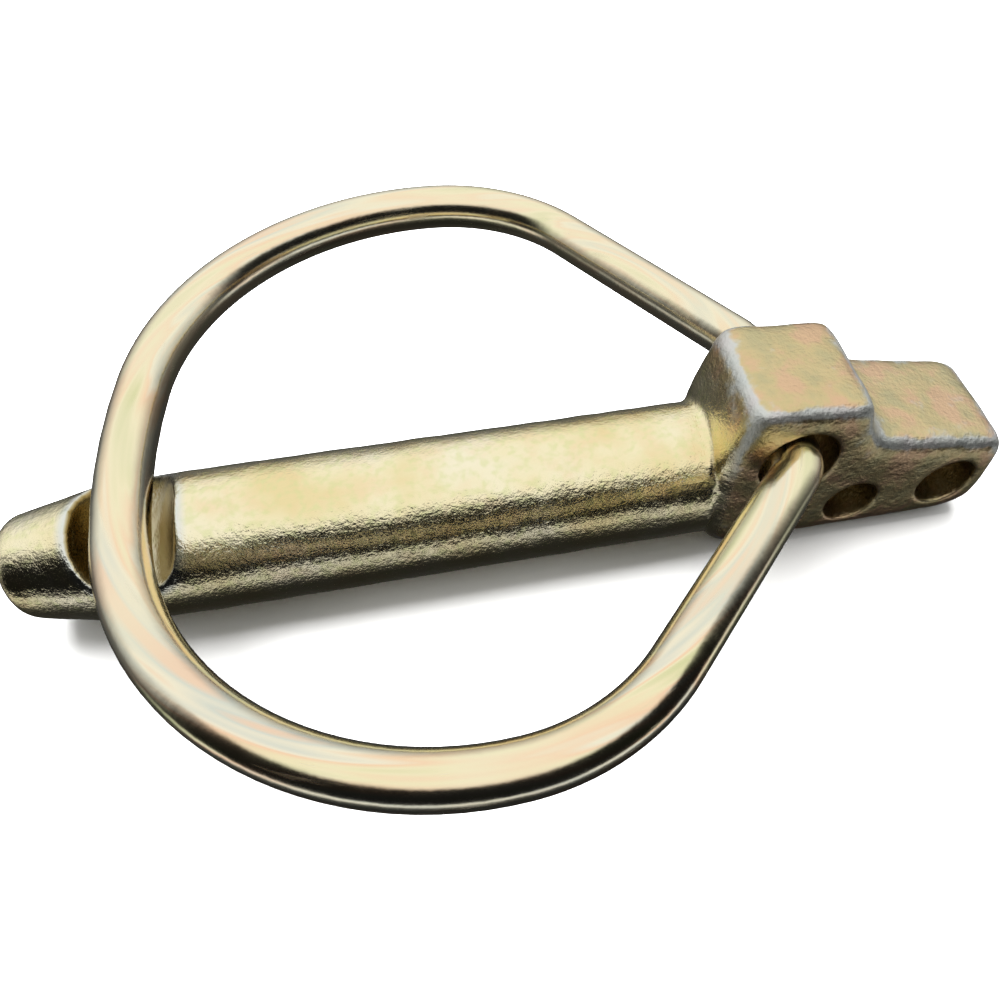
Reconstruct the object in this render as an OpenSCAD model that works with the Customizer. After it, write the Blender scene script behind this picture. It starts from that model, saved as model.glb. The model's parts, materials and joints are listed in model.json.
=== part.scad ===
// Lynch pin: a forged pin with a stepped head and a wire snap ring.
//
// X runs along the shaft, +X towards the head. Y runs across the head,
// along the cross hole that the ring swings in. Z is up, the ring's side.
// The origin is on the shaft's axis, at the shoulder where the head starts.

/* [Shaft] */
// Diameter of the shaft
shaft_d = 10; // [9:0.1:12]
// Length of the shaft, from the shoulder to the tip's end
shaft_len = 47.9; // [40:0.1:70]
// Length of the tapered tip
tip_len = 6.5; // [5:0.5:8]
// Narrowing of the shaft's radius between the notch and the tip's taper
lead_in = 0.15; // [0.1:0.05:0.4]
// Slope of the tip's taper
tip_slope = 12; // [8:1:18]
// Rounding at the tip's end face
tip_round = 1.4; // [0.6:0.1:2]

/* [Head] */
// Thickness of the head, along the cross hole
head_t = 9.8; // [8:0.1:11.8]
// Length of the head, from the shoulder
head_len = 22.8; // [22:0.2:30]
// Height of the upper lug above the shaft's axis
lug_z = 9.8; // [8.8:0.1:11]
// Length of the upper lug, from the shoulder
lug_len = 10.3; // [9.6:0.1:11]
// Slope of the lug's top
lug_slope = 5; // [0:1:8]
// Height where the leaning shoulder starts above the shaft's axis
shoulder_z = 3; // [1:0.1:4]
// How far the shoulder leans back on its way up to the lug's top
shoulder_run = 1.8; // [0.8:0.1:2.4]
// How far the lug's far side leans out on its way down to the block
step_run = 1.4; // [0:0.1:2]
// Height of the lower block's far end above the shaft's axis
block_z = 3.2; // [2:0.1:4]
// Slope of the lower block's top
block_slope = 11; // [4:1:16]
// Height of the head's underside above the shaft's lowest line
head_rise = 0.4; // [0:0.1:0.6]
// Chamfer under the shoulder
neck_bevel = 1.2; // [0.6:0.1:1.6]
// Chamfer under the far end
end_bevel = 2.2; // [1:0.1:3]
// Rounding of the head's corners in side view
head_round = 1.6; // [0.4:0.1:2]
// Bevel along the head's long edges
edge_bevel = 1; // [0.4:0.1:1.2]

/* [Holes] */
// Diameter of the cross hole that carries the ring
ring_hole_d = 5.6; // [4.6:0.1:6.2]
// Distance of the cross hole from the shoulder
ring_hole_x = 5.7; // [5:0.1:6.2]
// Wall between the cross hole and the lug's top
ring_hole_wall = 2.5; // [1.8:0.1:2.8]
// Diameter of the small middle hole
mid_hole_d = 4; // [3:0.1:4.6]
// Distance of the middle hole from the shoulder
mid_hole_x = 11.3; // [11:0.1:12.4]
// Wall between the middle hole and the head's underside
mid_hole_wall = 1.5; // [1.3:0.1:2]
// Diameter of the cord hole near the far end
cord_hole_d = 4.4; // [3:0.1:5]
// Wall between the cord hole and the head's far end
cord_hole_wall = 1.8; // [1.4:0.1:2.6]
// Wall between the cord hole and the head's underside
cord_hole_floor = 1.9; // [1.4:0.1:2.2]
// Widening of each hole's rim
rim_flare = 0.2; // [0.1:0.05:0.4]

/* [Ring] */
// Diameter of the ring's wire
wire_d = 3.4; // [2.8:0.1:4.1]
// Distance from the tip's end to the middle of the bow
tip_beyond_bow = 9.1; // [9:0.1:14]
// Middle radius of the nearly flat bow over the tip
bow_r = 54; // [40:1:80]
// Half the angle that the flat bow turns through
bow_turn = 7.5; // [3:0.5:12]
// Middle radius of the round sides
side_r = 21.2; // [17.6:0.2:25.6]
// Angle from the middle of the bow to the end of the sides
side_turn = 93; // [91:1:106]
// Middle radius of the shoulder bends
shoulder_r = 14; // [8:0.5:16]
// Middle radius of the bends at the wire's ends
end_bend_r = 3.2; // [2.6:0.1:6]
// How far the bow sits to one side of the head's middle
ring_shift = 3.2; // [0:0.1:3.4]
// How far the wire's ends have slid to that side in the cross hole
ring_slide = 0.7; // [0:0.1:0.8]
// Gap between the wire's two ends, inside the cross hole
end_gap = 1; // [0.6:0.1:3]

/* [Clearances] */
// Gap between the wire and the wall of the cross hole where it bears
hinge_gap = 0.2; // [0.1:0.05:0.4]
// Gap between the head's faces and the wire's end bends, with the ring centred
side_gap = 0.1; // [0.1:0.1:2]
// Gap between the wire and the middle of its notch's floor
notch_gap = 1.2; // [1.2:0.05:1.5]
// Extra radius of the notch around the wire
notch_ease = 1.8; // [1.6:0.1:2.2]
// How far the notch's middle lies from the bow, towards the tip
notch_shift = 0.4; // [0:0.1:0.5]
// Depth of the notch at the top of the shaft
notch_depth = 2.5; // [1.8:0.1:2.8]
// How far the notch's floor tips down towards the front
notch_tilt = 14; // [8:1:14]

/* [Hidden] */
$fn = 64;
past = 1;          // how far a cutter runs past the face that it cuts
bear_turn = 120;   // direction in which the wire bears, from +X towards +Z
joint_skin = 0.02; // how far a collar stands out of the wire
joint_len = 0.3;   // length of a collar
joint_cut = 0.1;   // how far the wire's lengths stop short of a collar's middle

shaft_r = shaft_d / 2;
underside_z = head_rise - shaft_r;
ring_hole_r = ring_hole_d / 2;
ring_hole_z = lug_z - ring_hole_wall - ring_hole_r;
mid_hole_z = underside_z + mid_hole_wall + mid_hole_d / 2;
cord_hole_x = head_len - cord_hole_wall - cord_hole_d / 2;
cord_hole_z = underside_z + cord_hole_floor + cord_hole_d / 2;

// The hinge is the wire's own middle line, where it bears in the cross hole
wire_r = wire_d / 2;
play = ring_hole_r - wire_r - hinge_gap;
hinge_x = ring_hole_x + play * cos(bear_turn);
hinge_z = ring_hole_z + play * sin(bear_turn);

// The middle of the bow lies in the notch
bow_x = tip_beyond_bow - shaft_len;
notch_floor_z = shaft_r - notch_depth;
bow_z = notch_floor_z + notch_gap + wire_r;
notch_r = wire_r + notch_ease;
notch_x = bow_x - notch_shift;
seat_x = notch_x + notch_r; // where the shaft's full diameter ends
ring_tilt = atan2(bow_z - hinge_z, hinge_x - bow_x);
reach = norm([hinge_x - bow_x, bow_z - hinge_z]);

// The bow's own plane: first number from the bow's middle towards the hinge,
// second number towards one leg
bow_c = [bow_r, 0];
side_c = on_arc(bow_c, bow_r - side_r, bow_turn);
shoulder_c = on_arc(side_c, side_r - shoulder_r, side_turn);

function on_arc(centre, radius, angle) =
    [centre[0] - radius * cos(angle), centre[1] + radius * sin(angle)];

// Where the straight end in the cross hole stops and the end bend starts
function end_y(side) = head_t / 2 + side_gap + side * ring_slide;

// Centre of the end bend on one side of the head, seen in the bow's plane
function end_c(side) = [reach - end_bend_r, end_y(side) - side * ring_shift];

// Angle at which the straight leg leaves the shoulder bend
function leg_turn(side) =
    let (run = end_c(side) - shoulder_c)
    180 - atan2(run[1], run[0])
        - acos((shoulder_r - end_bend_r) / norm(run));

// Straight wire, which stops short of the joint at each end
module bar(from, to) {
    run = to - from;
    translate([from[0], from[1], 0])
        rotate([0, 90, atan2(run[1], run[0])])
            translate([0, 0, joint_cut])
                cylinder(h = norm(run) - 2 * joint_cut, r = wire_r);
}

// Short collar that welds two lengths of wire where a bend starts or ends
module joint(centre, radius, angle) {
    at = on_arc(centre, radius, angle);
    translate([at[0], at[1], 0])
        rotate([0, 90, 90 - angle])
            cylinder(h = joint_len, r = wire_r + joint_skin, center = true);
}

// Bent wire: angles count from the bow's middle, turning towards the leg
module bend(centre, radius, start, end) {
    cut = joint_cut / radius * 180 / PI;
    translate([centre[0], centre[1], 0])
        rotate(180 - end + cut)
            rotate_extrude(angle = end - start - 2 * cut)
                translate([radius, 0])
                    circle(r = wire_r);
}

module leg(side) {
    turn = leg_turn(side);
    mirror([0, side < 0 ? 1 : 0, 0]) {
        joint(side_c, side_r, bow_turn);
        bend(side_c, side_r, bow_turn, side_turn);
        joint(shoulder_c, shoulder_r, side_turn);
        bend(shoulder_c, shoulder_r, side_turn, turn);
        joint(shoulder_c, shoulder_r, turn);
        bar(on_arc(shoulder_c, shoulder_r, turn), on_arc(end_c(side), end_bend_r, turn));
        joint(end_c(side), end_bend_r, turn);
        bend(end_c(side), end_bend_r, turn, 180);
        joint(end_c(side), end_bend_r, 180);
    }
}

// The straight end that lies in the cross hole
module pivot_end(side) {
    bar([0, side * end_y(side)], [0, side * end_gap / 2]);
}

module ring() {
    color("darkkhaki")
        translate([hinge_x, 0, hinge_z])
            rotate([0, ring_tilt, 0]) {
                translate([-reach, ring_shift, 0]) {
                    bend(bow_c, bow_r, -bow_turn, bow_turn);
                    leg(1);
                    leg(-1);
                }
                pivot_end(1);
                pivot_end(-1);
            }
}

// Side view of the upper lug and the column under it
module lug_outline() {
    polygon([
        [0, underside_z + neck_bevel],
        [0, shoulder_z],
        [shoulder_run, lug_z],
        [lug_len, lug_z - (lug_len - shoulder_run) * tan(lug_slope)],
        [lug_len + step_run, block_top(lug_len + step_run)],
        [lug_len + step_run, underside_z],
        [neck_bevel, underside_z]
    ]);
}

// Side view of the lower block, which runs back under the lug
module block_outline() {
    polygon([
        [0, underside_z + neck_bevel],
        [0, shoulder_z - head_round],
        [ring_hole_x, block_top(ring_hole_x)],
        [head_len, block_z],
        [head_len, underside_z + end_bevel],
        [head_len - end_bevel, underside_z],
        [neck_bevel, underside_z]
    ]);
}

function block_top(x) = block_z + (head_len - x) * tan(block_slope);

// A slab across the head with rounded corners and bevelled long edges
module slab() {
    rotate([90, 0, 0])
        hull() {
            linear_extrude(head_t - 2 * edge_bevel, center = true)
                offset(r = head_round, $fn = 24)
                    offset(delta = -head_round)
                        children();
            linear_extrude(head_t, center = true)
                offset(r = head_round, $fn = 24)
                    offset(delta = -head_round - edge_bevel)
                        children();
        }
}

// Hole through the head along Y, with a widened rim at each face
module cross_hole(x, z, d) {
    half_t = head_t / 2;
    translate([x, 0, z])
        rotate([90, 0, 0]) {
            cylinder(h = head_t + 2 * past, d = d, center = true);
            for (side = [-1, 1])
                mirror([0, 0, side < 0 ? 1 : 0])
                    translate([0, 0, half_t - rim_flare])
                        cylinder(h = past, d1 = d, d2 = d + 2 * past);
        }
}

// The shaft and its tip, turned about X
module shaft() {
    taper_x = tip_len - shaft_len;
    taper_r = shaft_r - lead_in;
    end_r = taper_r - tip_len * tan(tip_slope);
    round_r = end_r - tip_round * (1 - sin(tip_slope)) / cos(tip_slope);
    round_x = tip_round - shaft_len;
    rotate([0, 90, 0])
        rotate_extrude()
            polygon(concat(
                [[0, neck_bevel], [0, -shaft_len]],
                [for (i = [0 : 6])
                    let (a = -90 + i * (90 - tip_slope) / 6)
                    [round_r + tip_round * cos(a), round_x + tip_round * sin(a)]],
                [[taper_r, taper_x], [shaft_r, seat_x], [shaft_r, 0], [shaft_r - neck_bevel, neck_bevel]]
            ));
}

module notch() {
    translate([notch_x, 0, notch_floor_z + notch_r])
        rotate([90 + notch_tilt, 0, 0])
            cylinder(h = shaft_d + 2 * past, r = notch_r, center = true);
}

module pin() {
    color("tan")
        difference() {
            union() {
                shaft();
                slab() lug_outline();
                slab() block_outline();
            }
            notch();
            cross_hole(ring_hole_x, ring_hole_z, ring_hole_d);
            cross_hole(mid_hole_x, mid_hole_z, mid_hole_d);
            cross_hole(cord_hole_x, cord_hole_z, cord_hole_d);
        }
}

pin();
ring();
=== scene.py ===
import json
import bpy
from math import acos, atan2, cos, hypot, pi, radians, sin, tan
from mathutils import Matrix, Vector


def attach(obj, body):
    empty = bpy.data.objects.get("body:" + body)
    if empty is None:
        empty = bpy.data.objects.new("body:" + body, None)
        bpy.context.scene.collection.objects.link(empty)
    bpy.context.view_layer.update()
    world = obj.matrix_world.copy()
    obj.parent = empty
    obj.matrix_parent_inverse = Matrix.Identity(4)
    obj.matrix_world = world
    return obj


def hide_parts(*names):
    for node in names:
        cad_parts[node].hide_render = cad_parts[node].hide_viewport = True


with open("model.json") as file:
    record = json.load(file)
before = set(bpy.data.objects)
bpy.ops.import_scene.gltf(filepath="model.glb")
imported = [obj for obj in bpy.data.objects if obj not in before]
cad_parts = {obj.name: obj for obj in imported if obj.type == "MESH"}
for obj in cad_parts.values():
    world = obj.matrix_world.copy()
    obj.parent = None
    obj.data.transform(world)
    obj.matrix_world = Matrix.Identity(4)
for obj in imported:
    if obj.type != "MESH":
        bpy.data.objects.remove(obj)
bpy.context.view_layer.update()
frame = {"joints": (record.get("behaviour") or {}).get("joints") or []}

MM = 0.001

# The forged pin, in millimetres
SHAFT_R = 5
SEAT_X = -35.7            # where the shaft's full diameter ends
TAPER_X = -41.4           # where the tip's taper starts
TIP_X = -47.9
LEAD_IN = 0.15            # narrowing of the radius between the two
TIP_SLOPE = radians(12)
TIP_ROUND = 1.4
TIP_STEPS = 6             # steps round the tip's end
HEAD_HALF = 4.9           # half the head's thickness
HEAD_LEN = 22.8
UNDERSIDE_Z = -4.6
NECK_BEVEL = 1.2
LUG_Z = 9.75
LUG_LEN = 10.3
LUG_DROP = 0.74           # how far the lug's top falls towards the block
SHOULDER_Z = 3
SHOULDER_RUN = 1.8
STEP_RUN = 1.4
BLOCK_Z = 3.2
BLOCK_SLOPE = radians(11)
BLOCK_START = 4           # the block runs back under the lug to here
END_BEVEL = 2.2
TOP_END_BEVEL = 1.0
RING_HOLE = (5.7, 4.5, 2.8)      # x, z and radius
MID_HOLE = (11.3, -1.1, 2.0)
CORD_HOLE = (18.8, -0.5, 2.2)
NOTCH = (-39.2, 6.0, 3.5)        # x and z of the cutter's middle, and its radius
NOTCH_TILT = radians(14)  # how far the notch's floor tips down towards the front
WEAR_CELL = 0.5           # mesh cells at which the head's edges are worn round
WEAR_PASSES = 34
SKIN_CELL = 0.2           # mesh cells of the finished forged skin
SKIN_PASSES = 8
SKIN_DEPTH = 0.1          # how deep the skin's unevenness goes
SKIN_SWELL = 2.4          # and how wide its swells are

# The wire ring, in millimetres
WIRE_R = 1.7
BOW_R = 54
BOW_TURN = radians(7.5)
SIDE_R = 21.2
SIDE_TURN = radians(93)
SHOULDER_R = 14
END_BEND_R = 3.2
RING_SHIFT = 3.2          # how far the bow sits to one side of the head
END_GAP = 1               # gap between the wire's ends, inside the cross hole
END_START = {1: 5.7, -1: 4.3}    # where each end bend starts, across the head
BOW_X = -38.8
NOTCH_FLOOR_Z = NOTCH[1] - NOTCH[2]
NOTCH_GAP = 1.2           # room under the wire, in the middle of the notch
BOW_Z = NOTCH_FLOOR_Z + NOTCH_GAP + WIRE_R
RING_MIDDLE = (-17, RING_SHIFT)  # the tints run round this point
HINGE = frame["joints"][0]["pos_m"]
HINGE_X = HINGE[0] / MM
HINGE_Z = HINGE[2] / MM
REACH = hypot(HINGE_X - BOW_X, BOW_Z - HINGE_Z)
RING_TILT = atan2(BOW_Z - HINGE_Z, HINGE_X - BOW_X)


# ---- Modelling helpers -------------------------------------------------

def mm(*numbers):
    return Vector(numbers) * MM


def deselect_all():
    bpy.ops.object.select_all(action="DESELECT")
    bpy.context.view_layer.objects.active = None


def start_editing(piece):
    deselect_all()
    piece.select_set(True)
    bpy.context.view_layer.objects.active = piece
    bpy.ops.object.mode_set(mode="EDIT")


def stop_editing():
    bpy.ops.object.mode_set(mode="OBJECT")


def settle(piece, name):
    """Puts the place and turn of a new primitive into its mesh."""
    piece.name = name
    bpy.ops.object.transform_apply(location=True, rotation=True, scale=True)
    return piece


def add_block(name, low, high):
    deselect_all()
    middle = [(a + b) / 2 for a, b in zip(low, high)]
    size = [b - a for a, b in zip(low, high)]
    bpy.ops.mesh.primitive_cube_add(size=1, location=mm(*middle), scale=mm(*size))
    return settle(bpy.context.object, name)


def add_cross_bar(name, x, z, radius, length, tilt=0, sides=96):
    """A round bar along Y, which the booleans cut holes with."""
    deselect_all()
    bpy.ops.mesh.primitive_cylinder_add(
        vertices=sides, radius=radius * MM, depth=length * MM,
        location=mm(x, 0, z), rotation=(pi / 2 + tilt, 0, 0))
    return settle(bpy.context.object, name)


def pick(piece, test, kind="VERT"):
    """In edit mode, selects the points or edges that pass the test (millimetres)."""
    bpy.ops.mesh.select_all(action="DESELECT")
    bpy.ops.mesh.select_mode(type=kind)
    stop_editing()
    points = piece.data.vertices
    if kind == "VERT":
        for point in points:
            point.select = test(point.co / MM)
    else:
        for edge in piece.data.edges:
            edge.select = all(test(points[i].co / MM) for i in edge.vertices)
    bpy.ops.object.mode_set(mode="EDIT")


def slide(piece, test, x=0, y=0, z=0):
    """Moves the points that pass the test."""
    start_editing(piece)
    pick(piece, test)
    bpy.ops.transform.translate(value=mm(x, y, z))
    stop_editing()


def slice_level(piece, z):
    """Adds a level line round a piece, at a height."""
    start_editing(piece)
    bpy.ops.mesh.select_all(action="SELECT")
    bpy.ops.mesh.bisect(plane_co=mm(0, 0, z), plane_no=(0, 0, 1))
    stop_editing()


def bevel_edges(piece, test, width, steps):
    start_editing(piece)
    pick(piece, test, "EDGE")
    bpy.ops.mesh.bevel(offset=width * MM, segments=steps, affect="EDGES")
    stop_editing()


def finish_with(piece, kind, **settings):
    """Adds one modifier to a piece and applies it."""
    deselect_all()
    piece.select_set(True)
    bpy.context.view_layer.objects.active = piece
    modifier = piece.modifiers.new(kind.lower(), kind)
    for name, value in settings.items():
        setattr(modifier, name, value)
    bpy.ops.object.modifier_apply(modifier=modifier.name)


def join_to(piece, other):
    finish_with(piece, "BOOLEAN", operation="UNION", solver="EXACT", object=other)
    bpy.data.objects.remove(other)


def cut_from(piece, cutter):
    finish_with(piece, "BOOLEAN", operation="DIFFERENCE", solver="EXACT", object=cutter)
    bpy.data.objects.remove(cutter)


def face_outwards(piece):
    start_editing(piece)
    bpy.ops.mesh.select_all(action="SELECT")
    bpy.ops.mesh.remove_doubles(threshold=0.001 * MM)
    bpy.ops.mesh.normals_make_consistent(inside=False)
    stop_editing()


def smooth_shading(piece):
    deselect_all()
    piece.select_set(True)
    bpy.context.view_layer.objects.active = piece
    bpy.ops.object.shade_smooth()


# ---- The forged pin ----------------------------------------------------

def shaft_stations():
    """(x, radius) from inside the head to the tip's end face."""
    taper_r = SHAFT_R - LEAD_IN
    end_r = taper_r - (TAPER_X - TIP_X) * tan(TIP_SLOPE)
    round_r = end_r - TIP_ROUND * (1 - sin(TIP_SLOPE)) / cos(TIP_SLOPE)
    stations = [(NECK_BEVEL, SHAFT_R - NECK_BEVEL), (0, SHAFT_R)]
    stations += [(SEAT_X, SHAFT_R), (TAPER_X, taper_r)]
    for step in range(TIP_STEPS + 1):
        turn = TIP_SLOPE + (pi / 2 - TIP_SLOPE) * step / TIP_STEPS
        x = TIP_X + TIP_ROUND * (1 - sin(turn))
        stations.append((x, round_r + TIP_ROUND * cos(turn)))
    return stations


def make_shaft():
    stations = shaft_stations()
    x, radius = stations[0]
    deselect_all()
    bpy.ops.mesh.primitive_circle_add(
        vertices=128, radius=radius * MM, fill_type="NGON",
        location=mm(x, 0, 0), rotation=(0, pi / 2, 0))
    shaft = settle(bpy.context.object, "shaft")
    start_editing(shaft)
    bpy.ops.mesh.select_all(action="SELECT")
    for next_x, next_radius in stations[1:]:
        bpy.ops.mesh.extrude_region_move(
            TRANSFORM_OT_translate={"value": mm(next_x - x, 0, 0)})
        bpy.ops.transform.resize(
            value=(1, next_radius / radius, next_radius / radius),
            center_override=mm(next_x, 0, 0))
        x, radius = next_x, next_radius
    stop_editing()
    face_outwards(shaft)
    return shaft


def make_lug():
    """The upper part of the head, and the column under it."""
    lug = add_block("lug", (0, -HEAD_HALF, UNDERSIDE_Z), (LUG_LEN, HEAD_HALF, LUG_Z))
    step_z = BLOCK_Z + (HEAD_LEN - LUG_LEN - STEP_RUN) * tan(BLOCK_SLOPE)
    slice_level(lug, (SHOULDER_Z + step_z) / 2)
    slide(lug, lambda p: p.x < 1 and p.z > LUG_Z - 1, x=SHOULDER_RUN)
    slide(lug, lambda p: p.x > LUG_LEN - 1 and p.z > LUG_Z - 1, z=-LUG_DROP)
    slide(lug, lambda p: p.x > LUG_LEN - 1 and p.z < step_z, x=STEP_RUN)
    bevel_edges(lug, lambda p: p.x < 1 and p.z < UNDERSIDE_Z + 0.5, NECK_BEVEL, 1)
    return lug


def make_block():
    """The lower part of the head, which carries the cord hole."""
    low = (BLOCK_START, -HEAD_HALF, UNDERSIDE_Z)
    block = add_block("block", low, (HEAD_LEN, HEAD_HALF, BLOCK_Z))
    rise = (HEAD_LEN - BLOCK_START) * tan(BLOCK_SLOPE)
    slide(block, lambda p: p.x < BLOCK_START + 1 and p.z > BLOCK_Z - 1, z=rise)
    bevel_edges(block, lambda p: p.x > HEAD_LEN - 1 and p.z < UNDERSIDE_Z + 0.5, END_BEVEL, 3)
    bevel_edges(block, lambda p: p.x > HEAD_LEN - 1 and p.z > BLOCK_Z - 0.5, TOP_END_BEVEL, 2)
    return block


def make_head():
    """The lug and the block as one forging, its edges worn round."""
    head = make_lug()
    join_to(head, make_block())
    finish_with(head, "REMESH", mode="VOXEL", voxel_size=WEAR_CELL * MM, adaptivity=0)
    finish_with(head, "SMOOTH", factor=0.5, iterations=WEAR_PASSES)
    return head


def forged_unevenness():
    swell = bpy.data.textures.new("forged_unevenness", "CLOUDS")
    swell.noise_scale = SKIN_SWELL * MM
    swell.noise_depth = 2
    return swell


def make_pin():
    pin = make_shaft()
    pin.name = "forged_pin"
    join_to(pin, make_head())
    for x, z, radius in (RING_HOLE, MID_HOLE, CORD_HOLE):
        cut_from(pin, add_cross_bar("drill", x, z, radius, 4 * HEAD_HALF))
    cut_from(pin, add_cross_bar("notch_cutter", *NOTCH, 4 * SHAFT_R, NOTCH_TILT))
    finish_with(pin, "REMESH", mode="VOXEL", voxel_size=SKIN_CELL * MM, adaptivity=0)
    finish_with(pin, "SMOOTH", factor=0.5, iterations=SKIN_PASSES)
    finish_with(pin, "DISPLACE", texture=forged_unevenness(), mid_level=1, strength=SKIN_DEPTH * MM)
    smooth_shading(pin)
    return pin


# ---- The wire ring -----------------------------------------------------
# It is bent flat at the origin: X from the bow towards the hinge, Y sideways.

def on_arc(centre, radius, angle):
    return (centre[0] - radius * cos(angle), centre[1] + radius * sin(angle))


BOW_C = (BOW_R, 0)
SIDE_C = on_arc(BOW_C, BOW_R - SIDE_R, BOW_TURN)
SHOULDER_C = on_arc(SIDE_C, SIDE_R - SHOULDER_R, SIDE_TURN)


def end_centre(side):
    """Centre of the end bend on one side, measured as if that side were +Y."""
    return (REACH - END_BEND_R, END_START[side] - side * RING_SHIFT)


def leg_turn(side):
    """Angle at which the straight leg leaves the shoulder bend."""
    run_x = end_centre(side)[0] - SHOULDER_C[0]
    run_y = end_centre(side)[1] - SHOULDER_C[1]
    return pi - atan2(run_y, run_x) - acos((SHOULDER_R - END_BEND_R) / hypot(run_x, run_y))


def bend_wire(centre, radius, angle):
    """Spins the wire's open end round a bend."""
    steps = max(2, round(abs(angle) / radians(3)))
    bpy.ops.mesh.spin(steps=steps, angle=angle, center=mm(centre[0], centre[1], 0), axis=(0, 0, 1))


def draw_wire(start, end):
    """Draws the wire's open end on in a straight line."""
    run = mm(end[0] - start[0], end[1] - start[1], 0)
    bpy.ops.mesh.extrude_region_move(TRANSFORM_OT_translate={"value": run})


def mirrored(point):
    return (point[0], -point[1])


def make_ring():
    near, far = leg_turn(-1), leg_turn(1)
    end_near, end_far = end_centre(-1), end_centre(1)
    first = (REACH, -END_GAP / 2 - RING_SHIFT)
    last = (REACH, END_GAP / 2 - RING_SHIFT)
    deselect_all()
    bpy.ops.mesh.primitive_circle_add(
        vertices=48, radius=WIRE_R * MM, fill_type="NGON",
        location=mm(first[0], first[1], 0), rotation=(pi / 2, 0, 0))
    ring = settle(bpy.context.object, "wire_ring")
    start_editing(ring)
    bpy.ops.mesh.select_all(action="SELECT")
    draw_wire(first, (REACH, -end_near[1]))
    bend_wire(mirrored(end_near), END_BEND_R, pi - near)
    draw_wire(mirrored(on_arc(end_near, END_BEND_R, near)), mirrored(on_arc(SHOULDER_C, SHOULDER_R, near)))
    bend_wire(mirrored(SHOULDER_C), SHOULDER_R, near - SIDE_TURN)
    bend_wire(mirrored(SIDE_C), SIDE_R, SIDE_TURN - BOW_TURN)
    bend_wire(BOW_C, BOW_R, 2 * BOW_TURN)
    bend_wire(SIDE_C, SIDE_R, SIDE_TURN - BOW_TURN)
    bend_wire(SHOULDER_C, SHOULDER_R, far - SIDE_TURN)
    draw_wire(on_arc(SHOULDER_C, SHOULDER_R, far), on_arc(end_far, END_BEND_R, far))
    bend_wire(end_far, END_BEND_R, pi - far)
    draw_wire((REACH, end_far[1]), last)
    stop_editing()
    face_outwards(ring)
    hang_on_hinge(ring)
    smooth_shading(ring)
    return ring


def hang_on_hinge(ring):
    """Moves the flat ring to the hinge, and tips it until its bow lies in the notch."""
    deselect_all()
    ring.select_set(True)
    bpy.context.view_layer.objects.active = ring
    ring.location = mm(-REACH, RING_SHIFT, 0)
    bpy.ops.object.transform_apply(location=True)
    ring.rotation_euler = (0, RING_TILT, 0)
    ring.location = mm(HINGE_X, 0, HINGE_Z)
    bpy.ops.object.transform_apply(location=True, rotation=True)


# ---- Material maths ----------------------------------------------------

class Value:
    """A socket that can be used in arithmetic."""

    def __init__(self, plan, socket):
        self.plan = plan
        self.socket = socket

    def sum(self, operation, *others, clamp=False):
        inputs = {place: other for place, other in enumerate((self,) + others)}
        return self.plan.node("ShaderNodeMath", inputs, operation=operation, use_clamp=clamp)

    def __add__(self, other):
        return self.sum("ADD", other)

    def __sub__(self, other):
        return self.sum("SUBTRACT", other)

    def __rsub__(self, other):
        return self.plan.node("ShaderNodeMath", {0: other, 1: self}, operation="SUBTRACT")

    def __mul__(self, other):
        return self.sum("MULTIPLY", other)

    __radd__ = __add__
    __rmul__ = __mul__


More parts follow.
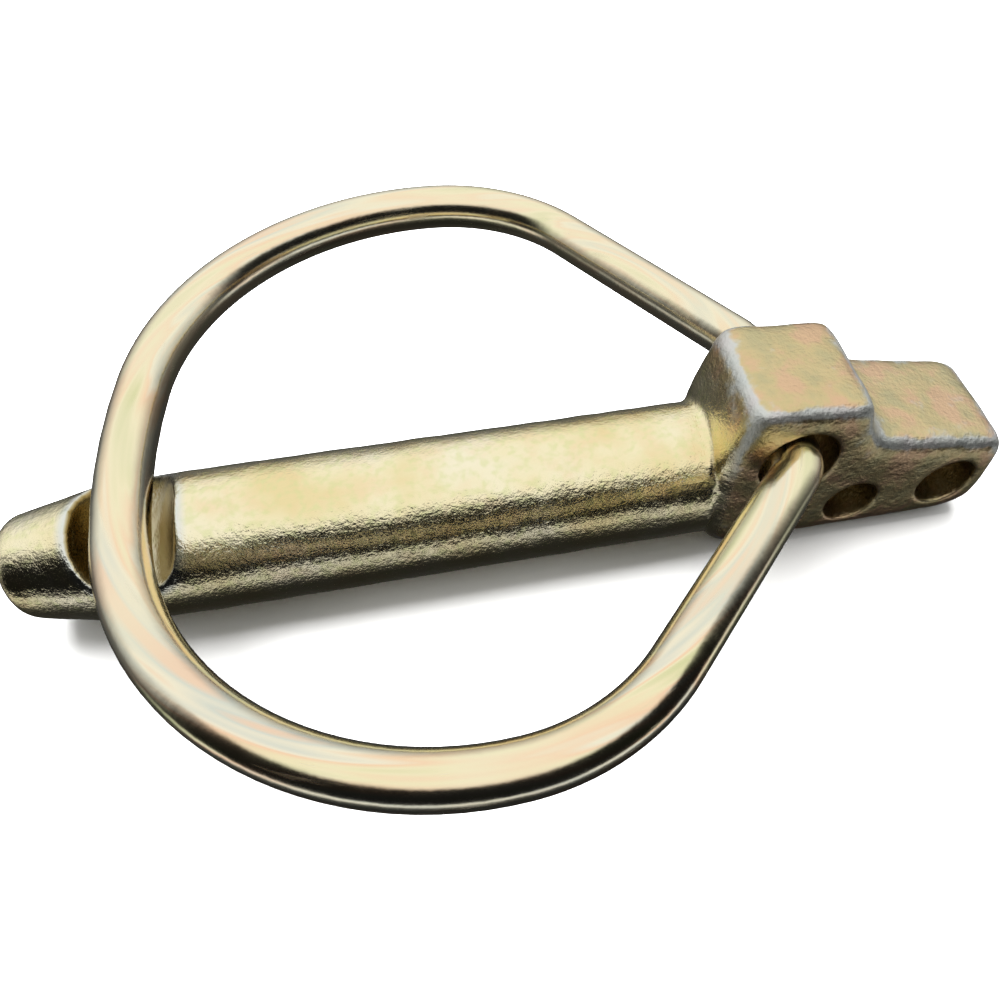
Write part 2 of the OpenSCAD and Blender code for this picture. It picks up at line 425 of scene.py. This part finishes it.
class Finish:
    """A material with a Principled shader, and the nodes that vary its surface."""

    def __init__(self, name, **constants):
        self.material = bpy.data.materials.new(name)
        self.material.use_nodes = True
        self.tree = self.material.node_tree
        self.shader = self.tree.nodes["Principled BSDF"]
        for socket, number in constants.items():
            self.shader.inputs[socket.replace("_", " ")].default_value = number
        place = self.node("ShaderNodeTexCoord", {}, out="Object")
        self.place = self.node("ShaderNodeVectorMath", {0: place, 3: 1 / MM}, operation="SCALE")
        self.x, self.y, self.z = self.parts_of(self.place)

    def node(self, kind, inputs, out=0, **settings):
        """Adds one node: its settings first, then its sockets' numbers and links."""
        made = self.tree.nodes.new(kind)
        for name, setting in settings.items():
            setattr(made, name, setting)
        for place, value in inputs.items():
            if isinstance(value, Value):
                self.tree.links.new(value.socket, made.inputs[place])
            else:
                made.inputs[place].default_value = value
        return Value(self, made.outputs[out])

    def parts_of(self, vector):
        """The x, y and z of a vector."""
        split = self.node("ShaderNodeSeparateXYZ", {0: vector}).socket.node
        return [Value(self, socket) for socket in split.outputs]

    def feed(self, socket, value):
        self.tree.links.new(value.socket, self.shader.inputs[socket])

    def noise(self, scale, detail=2, stretch=(1, 1, 1), place=None):
        """Noise from 0 to 1; the scale is in features per millimetre."""
        where = self.node("ShaderNodeMapping", {"Vector": place or self.place, "Scale": stretch})
        return self.node("ShaderNodeTexNoise", {"Vector": where, "Scale": scale, "Detail": detail})

    def round_ring(self, centre_x, centre_y):
        """Coordinates that run round the ring: distance from its middle, turn and height."""
        to_bow, across = centre_x - self.x, self.y - centre_y
        reach = (to_bow * to_bow + across * across).sum("SQRT")
        turn = across.sum("ARCTAN2", to_bow)
        return self.node("ShaderNodeCombineXYZ", {0: reach, 1: turn, 2: self.z})

    def corner(self):
        """0 on the head's flat faces and about 0.3 on its rounded edges."""
        facing = self.node("ShaderNodeTexCoord", {}, out="Normal")
        size = self.node("ShaderNodeVectorMath", {0: facing}, operation="ABSOLUTE")
        x, y, z = self.parts_of(size)
        return 1 - x.sum("MAXIMUM", y).sum("MAXIMUM", z)

    def ease(self, value, low, high):
        """0 below low and 1 above high, with a smooth step between."""
        sockets = {"Value": value, "From Min": low, "From Max": high}
        return self.node("ShaderNodeMapRange", sockets, interpolation_type="SMOOTHSTEP", clamp=True)

    def blend(self, mask, under, over):
        """One colour over another by a mask from 0 to 1."""
        return self.node("ShaderNodeMix", {0: mask, 6: under, 7: over}, out=2, data_type="RGBA")

    def ramp(self, value, stops):
        """A colour ramp from (place, colour) stops."""
        coloured = self.node("ShaderNodeValToRGB", {0: value})
        marks = coloured.socket.node.color_ramp.elements
        for place, colour in stops[2:]:
            marks.new(place)
        for mark, (place, colour) in zip(marks, stops):
            mark.position = place
            mark.color = colour
        return coloured

    def bump(self, height, depth):
        """Feeds a bump whose height is in shares of a depth in millimetres."""
        sockets = {"Height": height, "Strength": 1.0, "Distance": depth * MM}
        self.feed("Normal", self.node("ShaderNodeBump", sockets))


def colour(red, green, blue):
    return (red, green, blue, 1)


def near_hole(finish, hole, reach):
    """1 inside a cross hole, fading out a little way past its rim."""
    x, z, radius = hole
    across = (finish.x - x) * (finish.x - x)
    up = (finish.z - z) * (finish.z - z)
    return 1 - finish.ease(across + up, radius ** 2, (radius + reach) ** 2)


def near_notch(finish):
    """Masks for the notch's cut wall, which carries painted shade, and for the worn rim around it."""
    x, z, radius = NOTCH
    along = finish.x - x
    up = finish.z - z - finish.y * tan(NOTCH_TILT)
    away = (along * along + up * up).sum("SQRT") - radius
    cut = 1 - finish.ease(away, 0.05, 0.25)
    return cut, (1 - finish.ease(away, 0.2, 1.0)) * (1 - cut)


def forged_zinc():
    """Yellow zinc plate on a rough forged skin, duller on the head and worn at its edges, with painted
    shade in the cross holes and the notch.
    """
    finish = Finish("forged_yellow_zinc", Metallic=1.0, IOR=1.5)
    grain = finish.noise(3.2, detail=3)
    speck = finish.noise(8, detail=2)
    cloud = finish.noise(0.16, detail=3)
    patch = finish.noise(0.45, detail=4)
    gold = finish.ramp(cloud, [
        (0.34, colour(0.80, 0.68, 0.38)), (0.5, colour(0.86, 0.78, 0.52)),
        (0.66, colour(0.88, 0.82, 0.62))])
    rosy = finish.ease(patch, 0.46, 0.74) * 0.35
    gold = finish.blend(rosy, gold, colour(0.84, 0.60, 0.36))
    green = finish.ease(finish.noise(1.6, detail=1), 0.42, 0.74) * 0.45
    gold = finish.blend(green, gold, colour(0.66, 0.70, 0.34))
    in_notch, notch_rim = near_notch(finish)
    gold = finish.blend(notch_rim * 0.7, gold, colour(0.66, 0.72, 0.78))
    # Painted shade: the notch's wall under the ring is coloured dark brown.
    gold = finish.blend(in_notch, gold, colour(0.30, 0.23, 0.10))
    on_head = finish.ease(finish.x, 0.4, 1.6)
    dull = finish.ramp(patch, [
        (0.36, colour(0.52, 0.46, 0.26)), (0.48, colour(0.62, 0.50, 0.27)),
        (0.6, colour(0.70, 0.47, 0.30))])
    gold = finish.blend(on_head * 0.9, gold, dull)
    # The inside mask carries painted shade into the cross holes; the rim mask keeps the worn edges off
    # their rims.
    inside = near_hole(finish, RING_HOLE, 0.2)
    rim = near_hole(finish, RING_HOLE, 0.7)
    for hole in (MID_HOLE, CORD_HOLE):
        inside = inside.sum("MAXIMUM", near_hole(finish, hole, 0.2))
        rim = rim.sum("MAXIMUM", near_hole(finish, hole, 0.7))
    wear = finish.noise(0.7, detail=4)
    worn = finish.ease(finish.corner() * 1.6 + wear * 0.5 + grain * 0.12, 0.38, 0.56)
    worn = worn * on_head * (1 - rim)
    gold = finish.blend(worn * 0.7, gold, colour(0.72, 0.79, 0.86))
    # Painted shade: the insides of the cross holes are coloured dark brown.
    gold = finish.blend(inside * on_head * 0.7, gold, colour(0.30, 0.24, 0.12))
    finish.feed("Base Color", gold)
    finish.feed("Roughness", 0.09 + grain * 0.14 + on_head * 0.16 + worn * 0.16)
    tool_marks = finish.noise(1.5, detail=3, stretch=(0.35, 1.6, 1.0))
    skin = grain * 0.42 + speck * 0.2 + (grain * 0.2 + tool_marks * 0.3) * on_head
    finish.bump(skin * (1 - in_notch * 0.8), 0.095)
    return finish.material


def wire_zinc():
    """Bright yellow zinc plate on smooth drawn wire, with tints that run along it."""
    finish = Finish("bright_yellow_zinc", Metallic=1.0, IOR=1.5)
    round_ring = finish.round_ring(*RING_MIDDLE)
    streak = finish.noise(0.6, detail=2, stretch=(1, 1.4, 1), place=round_ring)
    tint = finish.ramp(streak, [
        (0.34, colour(0.62, 0.64, 0.34)), (0.42, colour(0.84, 0.76, 0.50)),
        (0.49, colour(0.88, 0.62, 0.42)), (0.54, colour(0.84, 0.78, 0.62)),
        (0.60, colour(0.66, 0.68, 0.60)), (0.67, colour(0.84, 0.62, 0.46))])
    cloud = finish.ease(finish.noise(0.09, detail=2), 0.3, 0.6) * 0.6
    tint = finish.blend(cloud, tint, colour(0.86, 0.79, 0.58))
    finish.feed("Base Color", tint)
    scratch = finish.noise(2.5, detail=2, stretch=(1, 1.5, 1), place=round_ring)
    nick = finish.ease(scratch, 0.6, 0.75)
    finish.feed("Roughness", 0.12 + finish.noise(0.5, detail=3) * 0.1 + nick * 0.15)
    finish.bump(finish.noise(0.35, detail=3) * 0.8 + finish.noise(4, detail=2) * 0.06, 0.05)
    return finish.material


def pale_paper():
    finish = Finish("pale_floor", Roughness=0.9)
    fleck = finish.noise(0.02, detail=2)
    white = finish.blend(fleck, colour(0.86, 0.86, 0.86), colour(0.88, 0.88, 0.88))
    finish.feed("Base Color", white)
    return finish.material


# ---- Studio ------------------------------------------------------------

def lay_floor():
    """The pin lies on its shaft, so the floor touches the shaft's underside."""
    deselect_all()
    bpy.ops.mesh.primitive_plane_add(size=3, location=mm(0, 0, -SHAFT_R))
    floor = settle(bpy.context.object, "floor")
    floor.data.materials.append(pale_paper())
    floor.visible_glossy = False


def soft_box(name, place, size, watts, target=(-12, 0, 0)):
    light = bpy.data.lights.new(name, "AREA")
    light.shape = "RECTANGLE"
    light.size = size[0] * MM
    light.size_y = size[1] * MM
    light.energy = watts
    holder = bpy.data.objects.new(name, light)
    holder.location = mm(*place)
    aim = mm(*target) - holder.location
    holder.rotation_euler = aim.to_track_quat("-Z", "Y").to_euler()
    holder.visible_glossy = False
    bpy.context.scene.collection.objects.link(holder)


BACK_WALL = [(0.0, 0.03), (0.2, 0.05), (0.40, 0.15), (0.52, 0.5), (0.75, 1.05)]
FRONT_WALL = [
    (0.0, 0.02), (0.12, 0.02), (0.22, 0.08), (0.3, 1.1), (0.37, 0.008), (0.80, 0.008), (0.86, 1.05)]
BACKDROP_GREY = 0.9


def map_range(tree, value, low, high, **settings):
    made = tree.nodes.new("ShaderNodeMapRange")
    for name, setting in settings.items():
        setattr(made, name, setting)
    made.inputs["From Min"].default_value = low
    made.inputs["From Max"].default_value = high
    tree.links.new(value, made.inputs["Value"])
    return made.outputs[0]


def wall_shade(tree, height, wall):
    """The greys of one wall, from (height, grey) marks; height runs from 0 below to 1 overhead."""
    ramp = tree.nodes.new("ShaderNodeValToRGB")
    marks = ramp.color_ramp.elements
    for place, grey in wall[2:]:
        marks.new(place)
    for mark, (place, grey) in zip(marks, wall):
        mark.position = place
        mark.color = colour(grey, grey, grey * 0.97)
    tree.links.new(height, ramp.inputs[0])
    return ramp.outputs[0]


def mixed(tree, share, first, second):
    mix = tree.nodes.new("ShaderNodeMix")
    mix.data_type = "RGBA"
    tree.links.new(share, mix.inputs[0])
    tree.links.new(first, mix.inputs[6])
    if second:
        tree.links.new(second, mix.inputs[7])
    return mix


def studio_walls():
    """What the metal reflects: bright overhead and behind, with a dark band in front.

    The backdrop itself is seen as one plain pale tone.
    """
    world = bpy.data.worlds.new("studio")
    world.use_nodes = True
    bpy.context.scene.world = world
    tree = world.node_tree
    split = tree.nodes.new("ShaderNodeSeparateXYZ")
    tree.links.new(tree.nodes.new("ShaderNodeTexCoord").outputs["Generated"], split.inputs[0])
    height = map_range(tree, split.outputs["Z"], -1, 1)
    front = map_range(tree, split.outputs["Y"], 0.15, -0.25, interpolation_type="SMOOTHSTEP")
    back_shade = wall_shade(tree, height, BACK_WALL)
    front_shade = wall_shade(tree, height, FRONT_WALL)
    walls = mixed(tree, front, back_shade, front_shade)
    seen_directly = tree.nodes.new("ShaderNodeLightPath").outputs["Is Camera Ray"]
    shown = mixed(tree, seen_directly, walls.outputs[2], None)
    shown.inputs[7].default_value = colour(BACKDROP_GREY, BACKDROP_GREY, BACKDROP_GREY)
    tree.links.new(shown.outputs[2], tree.nodes["Background"].inputs["Color"])


def place_camera():
    data = bpy.data.cameras.new("camera")
    data.sensor_width = 36
    data.lens = 27.344
    data.shift_x = -0.0737
    data.shift_y = 0.0627
    data.clip_start = MM
    camera = bpy.data.objects.new("camera", data)
    camera.location = mm(-16.834, -35.003, 44.293)
    camera.rotation_euler = (radians(33.091), radians(-0.745), radians(-11.527))
    bpy.context.scene.collection.objects.link(camera)
    bpy.context.scene.camera = camera


place_camera()
bpy.context.scene.view_settings.view_transform = "Standard"

pin = make_pin()
pin.data.materials.append(forged_zinc())
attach(pin, "pin")
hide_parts("pin")

ring = make_ring()
ring.data.materials.append(wire_zinc())
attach(ring, "ring")
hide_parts("ring")

lay_floor()
studio_walls()
soft_box("overhead_soft_box", (-20, 120, 220), (320, 320), 3.6)
